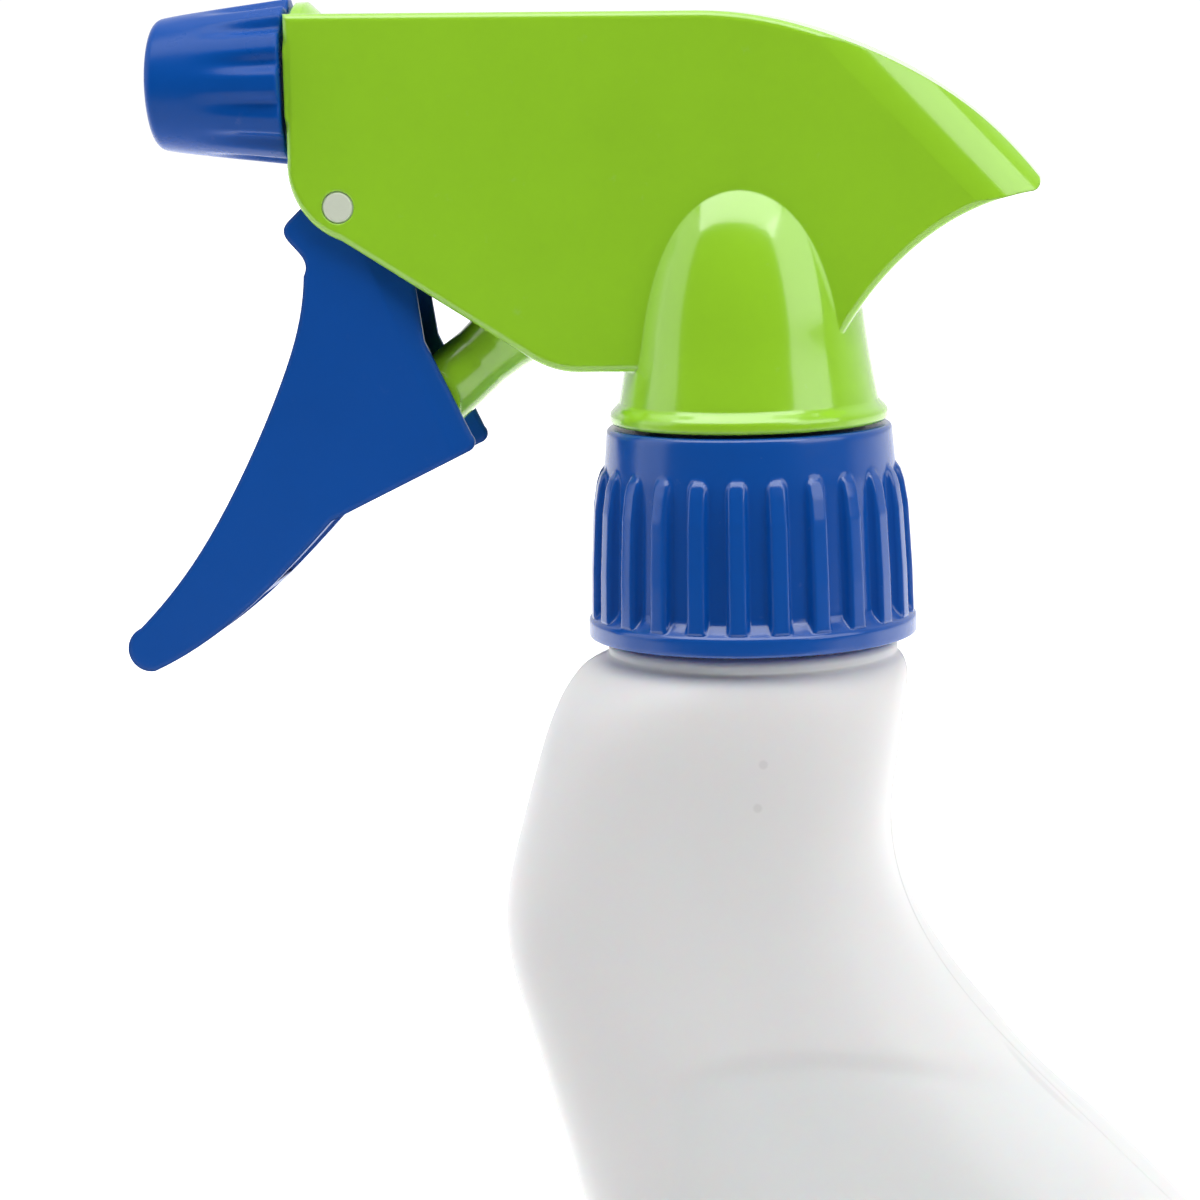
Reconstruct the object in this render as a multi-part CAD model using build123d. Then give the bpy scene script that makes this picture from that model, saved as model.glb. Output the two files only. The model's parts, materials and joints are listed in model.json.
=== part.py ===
"""Trigger spray bottle: a blow-moulded bottle with a screw-on trigger sprayer.

Lengths are in millimetres. +Z is up and the nozzle points along -X. The origin is the middle of the face
that the bottle stands on. Pieces of the sprayer are drawn in the neck frame, whose origin lies on the neck
axis at the lower edge of the screw closure, and placed() moves them to the part's own frame.
"""

import math
import os

from build123d import *

# ---- driving dimensions -------------------------------------------------------------------------

# Where the neck stands over the bottle's base
NECK_X = -25.0
NECK_Z = 172.0

# Bottle
WALL = 1.1
BASE_WALL = 1.6
LABEL_DEPTH = 0.6
NECK_BORE_R = 10.8
NECK_ROOT_R = 12.5
NECK_RIM_Z = 17.6
SUPPORT_RING_R = 15.1
# Height under the closure, front x, back x, half depth and squareness of each cross-section
BOTTLE_SECTIONS = [
    (-2.2, -15.6, 15.2, 15.0, 2.0),
    (-3.6, -18.2, 16.0, 16.6, 2.1),
    (-6.5, -20.2, 15.9, 17.4, 2.4),
    (-12.2, -22.4, 15.1, 17.9, 2.7),
    (-20.0, -24.6, 14.2, 18.2, 2.8),
    (-29.0, -26.4, 16.0, 18.8, 2.8),
    (-40.0, -24.4, 22.7, 20.2, 2.8),
    (-52.0, -21.0, 34.0, 21.9, 2.8),
    (-64.0, -17.7, 45.9, 23.6, 2.8),
    (-78.0, -14.6, 58.3, 25.1, 2.8),
    (-94.0, -13.0, 67.6, 26.0, 2.9),
    (-112.0, -14.2, 72.2, 26.4, 3.0),
    (-132.0, -17.6, 73.4, 26.5, 3.1),
    (-152.0, -20.8, 72.8, 26.4, 3.2),
    (-166.0, -22.0, 72.0, 26.0, 3.2),
    (-170.2, -21.2, 71.2, 25.2, 3.1),
    (-172.0, -18.6, 68.6, 22.8, 3.0),
]

# 28 mm neck thread, shared by bottle and closure
THREAD_PITCH = 4.23
THREAD_CREST_R = 13.7
BOTTLE_TURNS = 1.5
CLOSURE_TURNS = 1.25
BOTTLE_THREAD_Z = 7.6

# Screw closure
CLOSURE_H = 21.9
CLOSURE_IN_R = 14.0
CLOSURE_TOP_WALL = 1.6
CLOSURE_HOLE_R = 11.2
CLOSURE_RIM_R = 17.2
RIB_COUNT = 24
RIB_W = 1.7
RIB_PHASE = 0.0

# Shroud: two flat sides, a nozzle opening, a wing over the hand and a round collar
SIDE_Y = 7.1
SHROUD_WALL = 1.3
SHROUD_FRONT_X = -46.6
SHROUD_TOP_Z = 65.3
TOP_RUN = (1, -0.02)
TAIL_RUN = (0.62, -0.78)
EDGE_ROUND = 0.8
TAIL_LEAN = (0.72, 0.69)
TAIL_START = 47.5
TAIL_CURVE_R = 8.0
LIP_R = 8.2
COLLAR_Z = 22.3
COLLAR_RIM_R = 14.5
DOME_TOP_Z = 49.8
DOME_WALL = 1.4

# Nozzle and discharge line
SPRAY_Z = 58.3
NOZZLE_REAR_X = -47.0
NOZZLE_FRONT_X = -61.8
NOZZLE_REAR_R = 8.5
NOZZLE_FRONT_R = 6.9
FLUTE_COUNT = 12
BARREL_R = 5.0
BARREL_BORE_R = 3.3
DISCHARGE_R = 3.2
DISCHARGE_BORE_R = 1.4

# Trigger and its pin
PIN_X = -41.4
PIN_Z = 45.5
PIN_R = 1.65
TRIGGER_Y = 5.3
TRIGGER_WALL = 1.4
MARGIN_LEAN = 18.0
MARGIN_X = -34.2
MARGIN_Z = 28.4
MARGIN_ACROSS = (0.921, 0.389)
BLADE_FRONT = [(-45.6, 38.4), (-48.3, 27.6), (-54.4, 15.0), (-64.6, 1.4)]

# Pump: an inclined cylinder whose axis rises towards the back
PUMP_ANGLE = 40.0
PUMP_MOUTH_X = -21.0
PUMP_MOUTH_Z = 35.2
CYLINDER_BORE_R = 4.5
CYLINDER_R = 5.6
CYLINDER_LENGTH = 17.0
PISTON_HEAD_U = -16.0
PISTON_HEAD_R = 3.4
PUSH_GAP = 0.3
PUSH_TILT = -10.0

# Intake column on the neck axis
COLUMN_R = 4.6
COLUMN_TOP_Z = 61.8
BALL_R = 2.0
BALL_SEAT_Z = 28.0
TUBE_R = 3.0
TUBE_BORE_R = 2.1
TUBE_SOCKET_Z = 12.0
TUBE_TOP_Z = 23.8
TUBE_FOOT_X = 24.0
TUBE_FOOT_Z = -165.0
FLANGE_R = 13.0
FLANGE_Z = 18.7
FLANGE_TOP_Z = 20.15
SLEEVE_R = 10.8
VENT_X = 7.4

RUN = 0.06  # running fit between a shaft and its hole, on the radius


# ---- helpers ------------------------------------------------------------------------------------


def placed(shape):
    """Moves a shape from the neck frame to the part's own frame."""
    return Pos(NECK_X, 0, NECK_Z) * shape


def save(name, shape):
    """Writes one piece as its own STEP file."""
    shape.label = name
    export_step(shape, f"parts/{name}.step")


def upright(x, z, y=0.0):
    """A sketch plane through (x, y, z) whose local axes are +X and +Z."""
    return Plane(origin=(x, y, z), x_dir=(1, 0, 0), z_dir=(0, -1, 0))


def slab(outline, half_width, y=0.0):
    """Extrudes a closed outline, drawn in X and Z, to both sides of the plane at y."""
    face = make_face(upright(0, 0, y) * outline)
    return extrude(face, amount=half_width, both=True)


def turned(points, axis=Axis.Z):
    """Revolves a closed polygon of (radius, height) points about the neck axis."""
    return revolve(make_face(upright(0, 0) * Polyline(*points, close=True)), axis=axis)


def rod(x0, z0, x1, z1, radius, y=0.0):
    """A round bar between two points of the mid plane."""
    length = math.hypot(x1 - x0, z1 - z0)
    direction = (x1 - x0, 0, z1 - z0)
    return extrude(Plane(origin=(x0, y, z0), z_dir=direction) * Circle(radius), amount=length)


def crossbar(x, z, radius, half_width):
    """A round bar across the part, along Y."""
    return extrude(upright(x, z) * Circle(radius), amount=half_width, both=True)


def along_pump(u, offset=0.0):
    """The (x, z) point at distance u along the pump axis, moved square to it by offset."""
    angle = math.radians(PUMP_ANGLE)
    x = PUMP_MOUTH_X + u * math.cos(angle) - offset * math.sin(angle)
    z = PUMP_MOUTH_Z + u * math.sin(angle) + offset * math.cos(angle)
    return x, z


def pump_turned(points):
    """Revolves a polygon of (radius, distance) points about the inclined pump axis."""
    tilt = Pos(PUMP_MOUTH_X, 0, PUMP_MOUTH_Z) * Rot(0, 90 - PUMP_ANGLE, 0)
    return tilt * turned(points)


def spray_turned(points):
    """Revolves a polygon of (radius, x) points about the spray axis."""
    return Pos(0, 0, SPRAY_Z) * Rot(0, 90, 0) * turned(points)


def thread(radius, turns, base_z, depth, base_width, crest_width):
    """A helical ridge with a trapezoid section; a negative depth makes an internal thread."""
    path = Helix(pitch=THREAD_PITCH, height=THREAD_PITCH * turns, radius=radius)
    root = -0.15 * math.copysign(1, depth)
    section = Polyline(
        (root, -base_width / 2),
        (depth, -crest_width / 2),
        (depth, crest_width / 2),
        (root, base_width / 2),
        close=True,
    )
    ridge = sweep(make_face(upright(radius, 0) * section), path=path, is_frenet=True)
    return Pos(0, 0, base_z) * ridge


def coil(radius, wire_r, length, turns):
    """An open coil spring that stands on the origin along +Z."""
    pitch = (length - 2 * wire_r) / turns
    path = Helix(pitch=pitch, height=pitch * turns, radius=radius)
    return Pos(0, 0, wire_r) * sweep(upright(radius, 0) * Circle(wire_r), path=path, is_frenet=True)


# ---- bottle -------------------------------------------------------------------------------------


def cross_section(z, front, back, half_depth, squareness):
    """One level outline of the bottle: a superellipse between its front and back points."""
    middle = (front + back) / 2
    half_length = (back - front) / 2
    points = []
    for step in range(24):
        angle = 2 * math.pi * step / 24
        c, s = math.cos(angle), math.sin(angle)
        x = middle + half_length * math.copysign(abs(c) ** (2 / squareness), c)
        y = half_depth * math.copysign(abs(s) ** (2 / squareness), s)
        points.append((x, y, z))
    return make_face(Spline(*points, periodic=True))


def bottle_form(inset, base_rise):
    """The bottle's body as a loft, drawn in by inset and raised at the base by base_rise."""
    faces = []
    for z, front, back, half_depth, squareness in BOTTLE_SECTIONS:
        level = max(z, BOTTLE_SECTIONS[-1][0] + base_rise + 0.02 * (z - BOTTLE_SECTIONS[-1][0]))
        faces.append(cross_section(level, front + inset, back - inset, half_depth - inset, squareness))
    return loft(faces)


def label_outline():
    """The arched outline of the label panel, drawn in X and Z."""
    left, right, sill, spring, crown = -8.0, 62.0, -160.0, -50.0, -41.0
    return (
        Line((left, spring), (left, sill))
        + Line((left, sill), (right, sill))
        + Line((right, sill), (right, -88.0))
        + Spline((right, -88.0), (33.5, -53.0), (12.0, crown), (left, spring), tangents=((0, 1), (0, -1)))
    )


def make_bottle():
    body = bottle_form(0.0, 0.0)
    panel = slab(label_outline(), 40.0) - bottle_form(LABEL_DEPTH, 0.0)
    body -= panel
    neck = turned([(0, -3.0), (NECK_ROOT_R, -3.0), (NECK_ROOT_R, NECK_RIM_Z), (0, NECK_RIM_Z)])
    edge = SUPPORT_RING_R
    ring = turned([(0, -2.6), (edge, -2.6), (edge, -0.8), (NECK_ROOT_R, -0.4), (0, -0.4)])
    ridge = thread(NECK_ROOT_R, BOTTLE_TURNS, BOTTLE_THREAD_Z, THREAD_CREST_R - NECK_ROOT_R, 2.2, 1.0)
    shell = body + ring + neck + ridge
    bore = turned([(0, -6.0), (NECK_BORE_R, -6.0), (NECK_BORE_R, NECK_RIM_Z + 1), (0, NECK_RIM_Z + 1)])
    return shell - bottle_form(WALL + LABEL_DEPTH / 2, BASE_WALL) - bore


# ---- screw closure ------------------------------------------------------------------------------


def make_closure():
    rim = CLOSURE_RIM_R
    body = turned(
        [
            (CLOSURE_IN_R, 0.0),
            (rim - 0.5, 0.0),
            (rim, 0.5),
            (rim, 1.7),
            (rim - 0.6, 2.4),
            (15.7, 2.6),
            (15.2, 17.2),
            (14.8, CLOSURE_H - 0.5),
            (14.3, CLOSURE_H),
            (CLOSURE_HOLE_R, CLOSURE_H),
            (CLOSURE_HOLE_R, CLOSURE_H - CLOSURE_TOP_WALL),
            (CLOSURE_IN_R, CLOSURE_H - CLOSURE_TOP_WALL),
        ]
    )
    rib_front = [(16.9, 2.0), (16.8, 7.0), (16.5, 13.5), (16.0, 16.2)]
    rib = slab(Polyline((15.0, 2.0), *rib_front, (15.0, 17.8), close=True), RIB_W / 2)
    ribs = [Rot(0, 0, RIB_PHASE + 360 / RIB_COUNT * index) * rib for index in range(RIB_COUNT)]
    ridge_z = BOTTLE_THREAD_Z - THREAD_PITCH / 2
    ridge = thread(CLOSURE_IN_R, CLOSURE_TURNS, ridge_z, -0.9, 2.0, 0.9)
    return body + ribs + ridge


def make_gasket():
    low, high = NECK_RIM_Z + 0.05, FLANGE_Z - 0.05
    return turned([(10.2, low), (13.5, low), (13.5, high), (10.2, high)])


# ---- shroud -------------------------------------------------------------------------------------


def shroud_side():
    """The shroud's outline seen from the side, drawn in X and Z."""
    return [
        Line((SHROUD_FRONT_X, 50.5), (SHROUD_FRONT_X, SHROUD_TOP_Z)),
        Line((SHROUD_FRONT_X, SHROUD_TOP_Z), (-4.0, 64.6)),
        Spline((-4.0, 64.6), (8.3, 62.3), (20.4, 56.4), (30.2, 47.2), tangents=(TOP_RUN, TAIL_RUN)),
        ThreePointArc((30.2, 47.2), (30.3, 46.2), (29.4, 45.7)),
        Spline((29.4, 45.7), (22.3, 43.4), (15.2, 38.0), (10.0, 31.0)),
        Line((10.0, 31.0), (8.0, 28.1)),
        Line((8.0, 28.1), (-16.9, 28.1)),
        ThreePointArc((-16.9, 28.1), (-19.3, 28.45), (-21.5, 29.4)),
        Line((-21.5, 29.4), (-41.2, 42.0)),
        ThreePointArc((-41.2, 42.0), (-45.3, 45.2), (SHROUD_FRONT_X, 50.5)),
    ]


def shroud_room_side():
    """The outline of the hollow between the shroud's flat sides, one wall inside shroud_side()."""
    front = SHROUD_FRONT_X + SHROUD_WALL
    top = SHROUD_TOP_Z - SHROUD_WALL
    return [
        Line((front, 47.0), (front, top)),
        Line((front, top), (-4.0, top - 0.7)),
        Spline((-4.0, top - 0.7), (7.8, 61.0), (19.5, 55.3), (27.4, 47.6), tangents=(TOP_RUN, TAIL_RUN)),
        Line((27.4, 47.6), (27.2, 46.4)),
        Spline((27.2, 46.4), (21.6, 44.5), (14.2, 39.0), (8.6, 31.0)),
        Line((8.6, 31.0), (-17.0, 29.5)),
        Line((-17.0, 29.5), (front, 47.0)),
    ]


def dome_profile(skin):
    """Half of the round collar and its dome, drawn in by skin, as a closed outline in radius and height."""
    foot = COLLAR_Z + 1.0 if skin == 0 else COLLAR_Z - 1.0
    outer = [(13.8, foot), (13.0, 27.4), (12.5, 30.5), (12.1, 33.5), (11.45, 37.0), (10.45, 40.5)]
    outer += [(9.0, 43.8), (7.0, 46.6), (4.2, 48.9), (0, DOME_TOP_Z)]
    low = [(radius - skin, height - skin * (height - foot) / (DOME_TOP_Z - foot)) for radius, height in outer[:-1]]
    curve = [*low, (0, DOME_TOP_Z - skin)]
    return [
        Line((0, foot), curve[0]),
        Spline(*curve, tangents=((-0.22, 1), (-1, 0))),
        Line(curve[-1], (0, foot)),
    ]


def tail_flanks(radius):
    """What is cut from both sides of the tail, so that it narrows in a curve towards its tip."""
    lean_x, lean_z = TAIL_LEAN
    section = Plane(origin=(0, 0, 0), x_dir=(lean_x, 0, lean_z), z_dir=(lean_z, 0, -lean_x))
    # Outlines are drawn along the lean and across the shroud
    middle = SIDE_Y + 0.05 - TAIL_CURVE_R
    turns = [math.radians(turn) for turn in (0, 35, 70)]
    start, halfway, end = [(TAIL_START + radius * math.sin(a), middle + radius * math.cos(a)) for a in turns]
    arc = ThreePointArc(start, halfway, end)
    around = Polyline(end, (end[0] + 6, end[1] - 2), (end[0] + 6, 14), (TAIL_START, 14), start)
    cut = extrude(make_face(section * Wire([arc, *around.edges()])), amount=60, both=True)
    return cut + mirror(cut, about=Plane.XZ)


def make_shroud():
    side = make_face(upright(0, 0) * Wire(shroud_side()))
    plate = extrude(side, amount=SIDE_Y, both=True)
    faces = plate.faces().sort_by(Axis.Y)
    plate = fillet(faces[0].edges() + faces[-1].edges(), EDGE_ROUND)
    plate = plate - tail_flanks(TAIL_CURVE_R)
    dome = revolve(make_face(upright(0, 0) * Wire(dome_profile(0.0))), axis=Axis.Z)
    rim_r = COLLAR_RIM_R
    rim_edge = [(rim_r - 0.3, COLLAR_Z), (rim_r, COLLAR_Z + 0.3), (rim_r, 23.2), (rim_r - 0.1, 23.5)]
    rim_edge += [(14.15, 23.8), (13.8, 24.15), (13.5, 24.55), (13.3, 25.0)]
    rim = turned([(0, COLLAR_Z), *rim_edge, (0, 25.0)])
    front = SHROUD_FRONT_X
    lip_edge = [(LIP_R - 0.4, front), (LIP_R, front + 0.4), (LIP_R, front + 1.4), (LIP_R - 1.3, front + 2.8)]
    lip = spray_turned([(0, front), *lip_edge, (0, front + 2.8)])
    lip = lip & Pos(front, 0, SPRAY_Z) * Box(20, 2 * SIDE_Y - 0.1, 30)
    shell = plate + dome + rim + lip

    room_side = make_face(upright(0, 0) * Wire(shroud_room_side()))
    room = extrude(room_side, amount=SIDE_Y - SHROUD_WALL, both=True) - tail_flanks(TAIL_CURVE_R - SHROUD_WALL)
    dome_room = revolve(make_face(upright(0, 0) * Wire(dome_profile(DOME_WALL))), axis=Axis.Z)
    mouth = Polyline((-49, 49.3), (-49, 24), (-16.2, 24), (-16.2, 36), (-40, 50), close=True)
    nozzle_hole = rod(SHROUD_FRONT_X - 1, SPRAY_Z, SHROUD_FRONT_X + 3, SPRAY_Z, BARREL_R + 0.3)
    pin_hole = crossbar(PIN_X, PIN_Z, PIN_R + 0.02, 2 * SIDE_Y)
    hollow = room + dome_room + slab(mouth, SIDE_Y - SHROUD_WALL - 0.05)
    return shell - hollow - nozzle_hole - pin_hole


def make_pin():
    pin = crossbar(PIN_X, PIN_Z, PIN_R, SIDE_Y)
    ends = pin.faces().sort_by(Axis.Y)
    return chamfer(ends[0].edges() + ends[-1].edges(), 0.2)


# ---- pump body ----------------------------------------------------------------------------------


def make_pump_body():
    flange = turned([(0, FLANGE_Z), (FLANGE_R, FLANGE_Z), (FLANGE_R, FLANGE_TOP_Z), (0, FLANGE_TOP_Z)])
    sleeve = turned([(0, FLANGE_Z), (SLEEVE_R, FLANGE_Z), (SLEEVE_R, 29.0), (0, 29.0)])
    room_r = SLEEVE_R - 1.2
    sleeve_room = turned([(COLUMN_R, 20.7), (room_r, 20.7), (room_r, 30.0), (COLUMN_R, 30.0)])
    column = turned([(0, FLANGE_Z), (COLUMN_R, FLANGE_Z), (COLUMN_R, COLUMN_TOP_Z), (0, COLUMN_TOP_Z)])
    back = CYLINDER_LENGTH
    cylinder = pump_turned([(0, 0), (CYLINDER_R, 0), (CYLINDER_R, back + 1.4), (0, back + 1.4)])
    line = spray_turned([(0, 0), (DISCHARGE_R, 0), (DISCHARGE_R, -45.0), (0, -45.0)])
    barrel = spray_turned([(0, -44.0), (BARREL_R, -44.0), (BARREL_R, -58.0), (0, -58.0)])
    web = slab(Polyline((-12, 48), (-2, 48), (-2, 57), (-26, 57), close=True), 0.8)
    body = flange + (sleeve - sleeve_room) + column + cylinder + line + barrel + web

    chamber = pump_turned([(0, -1), (CYLINDER_BORE_R, -1), (CYLINDER_BORE_R, back), (0, back)])
    port = rod(*along_pump(back - 1), *along_pump(back + 8.5), DISCHARGE_BORE_R)
    seat = BALL_SEAT_Z
    socket = turned([(0, 18), (3.6, 18), (3.6, seat), (2.4, seat), (2.4, 31.2), (1.3, 32.3), (0, 32.3)])
    riser = turned([(0, 32), (1.1, 32), (1.1, 33), (1.7, 34), (1.7, SPRAY_Z + 0.5), (0, SPRAY_Z + 0.5)])
    discharge = spray_turned([(0, 1.2), (DISCHARGE_BORE_R, 1.2), (DISCHARGE_BORE_R, -50), (0, -50)])
    barrel_bore = spray_turned([(0, -49), (BARREL_BORE_R, -49), (BARREL_BORE_R, -59), (0, -59)])
    groove = spray_turned([(4.3, -54.5), (6, -54.5), (6, -55.5), (4.3, -55.5)])
    vent = Pos(VENT_X, 0, FLANGE_Z) * Cylinder(0.9, 6)
    passages = chamber + port + riser + socket + discharge + barrel_bore
    return body - passages - groove - vent


def make_inlet_seat():
    low, high = TUBE_SOCKET_Z, BALL_SEAT_Z - 0.05
    body = turned([(0, low), (4.4, low), (4.4, 18.6), (3.58, 18.6), (3.58, high), (0, high)])
    tube_r, stop = TUBE_R + 0.02, TUBE_TOP_Z + 0.1
    socket = turned([(0, 11), (tube_r, 11), (tube_r, stop), (0, stop)])
    throat = turned([(0, 23), (1.3, 23), (1.3, 27.4), (1.9, BALL_SEAT_Z), (0, BALL_SEAT_Z)])
    return body - socket - throat


def ball_centre_z():
    """Height of the ball's middle when it rests on the seat's conical edge."""
    return BALL_SEAT_Z + 1.0


def make_inlet_ball():
    return Pos(0, 0, ball_centre_z()) * Sphere(BALL_R)


def make_dip_tube():
    straight = Line((0, 0, TUBE_TOP_Z), (0, 0, -30))
    bend = TangentArc((0, 0, -30), (TUBE_FOOT_X, 0, TUBE_FOOT_Z), tangent=(0, 0, -1))
    ring = Plane.XY.offset(TUBE_TOP_Z) * (Circle(TUBE_R) - Circle(TUBE_BORE_R))
    return sweep(ring, path=Wire([straight, bend]))


def make_tube_strainer():
    """A slotted cap pushed over the dip tube's foot, in line with the end of the tube's bend."""
    lean = 2 * math.degrees(math.atan2(TUBE_FOOT_X, -30 - TUBE_FOOT_Z))
    bore = TUBE_R + RUN
    cup = turned([(0, 0), (bore, 0), (bore, 4), (3.8, 4), (3.8, -2.0), (3.2, -2.6), (0, -2.6)])
    well = turned([(0, 0.1), (2.2, 0.1), (2.2, -1.8), (0, -1.8)])
    slots = [Rot(0, 0, turn) * Pos(0, 0, -1.0) * Box(9, 0.8, 1.1) for turn in (0, 60, 120)]
    return Pos(TUBE_FOOT_X, 0, TUBE_FOOT_Z) * Rot(0, -lean, 0) * (cup - well - slots)


def make_vent_valve():
    cap = turned([(0, 18.0), (2.2, 18.2), (2.3, FLANGE_Z - 0.02), (0, FLANGE_Z - 0.02)])
    stem = turned([(0, 18.5), (0.85, 18.5), (0.85, 20.75), (1.2, 20.75), (0.6, 22.0), (0, 22.0)])
    return Pos(VENT_X, 0, 0) * (cap + stem)


# ---- piston -------------------------------------------------------------------------------------


def make_piston():
    arm = [(0, -16), (3.7, -16), (3.6, -12), (3.45, -9), (3.7, -6.5), (4.1, -4.5), (4.1, 1.5)]
    shank = pump_turned([*arm, (2.2, 1.5), (2.2, 6), (0, 6)])
    head = crossbar(*along_pump(PISTON_HEAD_U), PISTON_HEAD_R, 3.6)
    return shank + head


def make_piston_cup():
    lip = CYLINDER_BORE_R - RUN
    skirt = [(lip, 1.55), (4.2, 2.6), (lip, 4.6), (4.0, 4.6), (3.5, 3.2)]
    return pump_turned([(2.22, 1.55), *skirt, (2.22, 3.2)])


def make_return_spring():
    length = CYLINDER_LENGTH - 3.3
    spring = coil(3.05, 0.35, length, 5.5)
    x, z = along_pump(3.25)
    return Pos(x, 0, z) * Rot(0, 90 - PUMP_ANGLE, 0) * spring


# ---- trigger ------------------------------------------------------------------------------------


def trigger_side():
    """The trigger's outline seen from the side: ears at the pin, a curved blade and a rounded tip."""
    return [
        Spline((-46.9, 44.2), (-47.5, 42.8), (-46.1, 40.9), (-45.6, 38.4)),
        Spline(*BLADE_FRONT, tangents=((-0.05, -1), (-0.72, -0.7))),
        ThreePointArc((-64.6, 1.4), (-65.9, -1.6), (-63.2, -3.2)),
        Spline((-63.2, -3.2), (-55.0, 1.8), (-48.3, 7.8), (-43.6, 12.7)),
        Line((-43.6, 12.7), (-29.0, 19.8)),
        ThreePointArc((-29.0, 19.8), (-28.3, 20.6), (-28.6, 21.5)),
        Line((-28.6, 21.5), (-33.3, 31.4)),
        Line((-33.3, 31.4), (-34.2, 38.0)),
        Spline((-34.2, 38.0), (-37.6, 46.4), (-41.4, 49.2), (-44.4, 47.6), (-45.2, 45.8)),
        Line((-45.2, 45.8), (-46.9, 44.2)),
    ]


def rear_margins():
    """What is cut from both outer sides, so that a margin along the rear edge slopes inwards."""
    lean = math.radians(MARGIN_LEAN)
    out_x, out_y, out_z = math.sin(lean) * MARGIN_ACROSS[0], -math.cos(lean), math.sin(lean) * MARGIN_ACROSS[1]
    along = (-MARGIN_ACROSS[1], 0, MARGIN_ACROSS[0])
    slope = Plane(origin=(MARGIN_X, -TRIGGER_Y, MARGIN_Z), x_dir=along, z_dir=(out_x, out_y, out_z))
    near = slope * Pos(0, 0, 5) * Box(50, 24, 10)
    return near + mirror(near, about=Plane.XZ)


def make_trigger():
    side = make_face(upright(0, 0) * Wire(trigger_side()))
    solid = extrude(side, amount=TRIGGER_Y, both=True)
    inner_y = TRIGGER_Y - TRIGGER_WALL
    front = Spline((-44.0, 38.5), (-46.7, 27.2), (-52.6, 15.0), (-59.0, 5.6))
    rear = [(-57.0, -4), (-38, -4), (-20, 15), (-20, 55), (-44.0, 55)]
    channel = front + Polyline((-59.0, 5.6), *rear, (-44.0, 38.5))
    shell = solid - slab(channel, inner_y)

    # The rib that pushes on the piston's round head
    push = math.radians(PUMP_ANGLE + PUSH_TILT)
    nx, nz = math.cos(push), math.sin(push)
    hx, hz = along_pump(PISTON_HEAD_U)
    reach = PISTON_HEAD_R + PUSH_GAP
    corners = []
    for depth, side_step in ((reach, -4.5), (reach, 4.5), (reach + 1.5, 4.5), (reach + 1.5, -4.5)):
        corners.append((hx - depth * nx - side_step * nz, hz - depth * nz + side_step * nx))
    push_rib = slab(Polyline(*corners, close=True), inner_y + 0.3)
    strut_side = Polyline((-50.6, 21.4), (-37.6, 21.4), (-37.6, 22.8), (-50.0, 22.8), close=True)
    strut = slab(strut_side, inner_y + 0.3)
    ribs = extrude(side, amount=inner_y + 0.3, both=True)
    blade_ribs = [ribs & Pos(-50, 0, level) * Box(40, 20, 1.3) for level in (5.5, 13.2)]
    hole = crossbar(PIN_X, PIN_Z, PIN_R + RUN, 2 * TRIGGER_Y)
    return shell + push_rib + strut + blade_ribs - hole - rear_margins()


# ---- nozzle -------------------------------------------------------------------------------------


def make_outlet_valve():
    return spray_turned([(0, -49.05), (2.7, -49.05), (2.7, -50.0), (1.2, -50.4), (1.2, -52.0), (0, -52.0)])


def make_outlet_spring():
    spring = coil(1.75, 0.2, 3.9, 4)
    return Pos(-50.6, 0, SPRAY_Z) * Rot(0, -90, 0) * spring


def make_swirl_insert():
    body = spray_turned([(0, -54.6), (3.26, -54.6), (3.26, -57.4), (2.4, -57.4), (2.4, -58.3), (0, -58.3)])
    well = spray_turned([(0, -54), (1.1, -54), (1.1, -56), (0, -56)])
    grooves = []
    for index in range(3):
        slot = Pos(-56.5, 0, SPRAY_Z + 3.2) * Box(5, 1.0, 1.6)
        grooves.append(Pos(0, 0, SPRAY_Z) * Rot(120 * index, 0, 0) * Pos(0, 0, -SPRAY_Z) * slot)
    return body - well - grooves


def make_nozzle_seal():
    ring = Pos(0, 0, -55.0) * Torus(4.72, 0.38)
    return Pos(0, 0, SPRAY_Z) * Rot(0, 90, 0) * ring


def make_nozzle():
    rear, front = NOZZLE_REAR_X, NOZZLE_FRONT_X
    socket_r = BARREL_R + 0.15
    body = spray_turned(
        [
            (socket_r, rear),
            (NOZZLE_REAR_R, rear),
            (7.35, -58.4),
            (NOZZLE_FRONT_R, -60.2),
            (NOZZLE_FRONT_R - 0.7, front + 0.4),
            (NOZZLE_FRONT_R - 1.6, front),
            (2.6, front),
            (2.2, front + 1.2),
            (0.4, front + 1.6),
            (0.4, -58.6),
            (socket_r, -58.6),
        ]
    )
    flute = rod(rear + 1, SPRAY_Z + 9.4, rear - 10, SPRAY_Z + 9.6, 1.5)
    cuts = []
    for index in range(FLUTE_COUNT):
        turn = Rot(360 / FLUTE_COUNT * (index + 0.5), 0, 0)
        cuts.append(Pos(0, 0, SPRAY_Z) * turn * Pos(0, 0, -SPRAY_Z) * flute)
    return body - cuts


# ---- write the pieces ---------------------------------------------------------------------------

PIECES = {
    "bottle": make_bottle,
    "closure": make_closure,
    "neck_gasket": make_gasket,
    "shroud": make_shroud,
    "pivot_pin": make_pin,
    "pump_body": make_pump_body,
    "inlet_seat": make_inlet_seat,
    "inlet_ball": make_inlet_ball,
    "dip_tube": make_dip_tube,
    "tube_strainer": make_tube_strainer,
    "vent_valve": make_vent_valve,
    "piston": make_piston,
    "piston_cup": make_piston_cup,
    "return_spring": make_return_spring,
    "trigger": make_trigger,
    "outlet_valve": make_outlet_valve,
    "outlet_spring": make_outlet_spring,
    "swirl_insert": make_swirl_insert,
    "nozzle_seal": make_nozzle_seal,
    "nozzle": make_nozzle,
}

os.makedirs("parts", exist_ok=True)
for name, make in PIECES.items():
    save(name, placed(make()))
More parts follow.
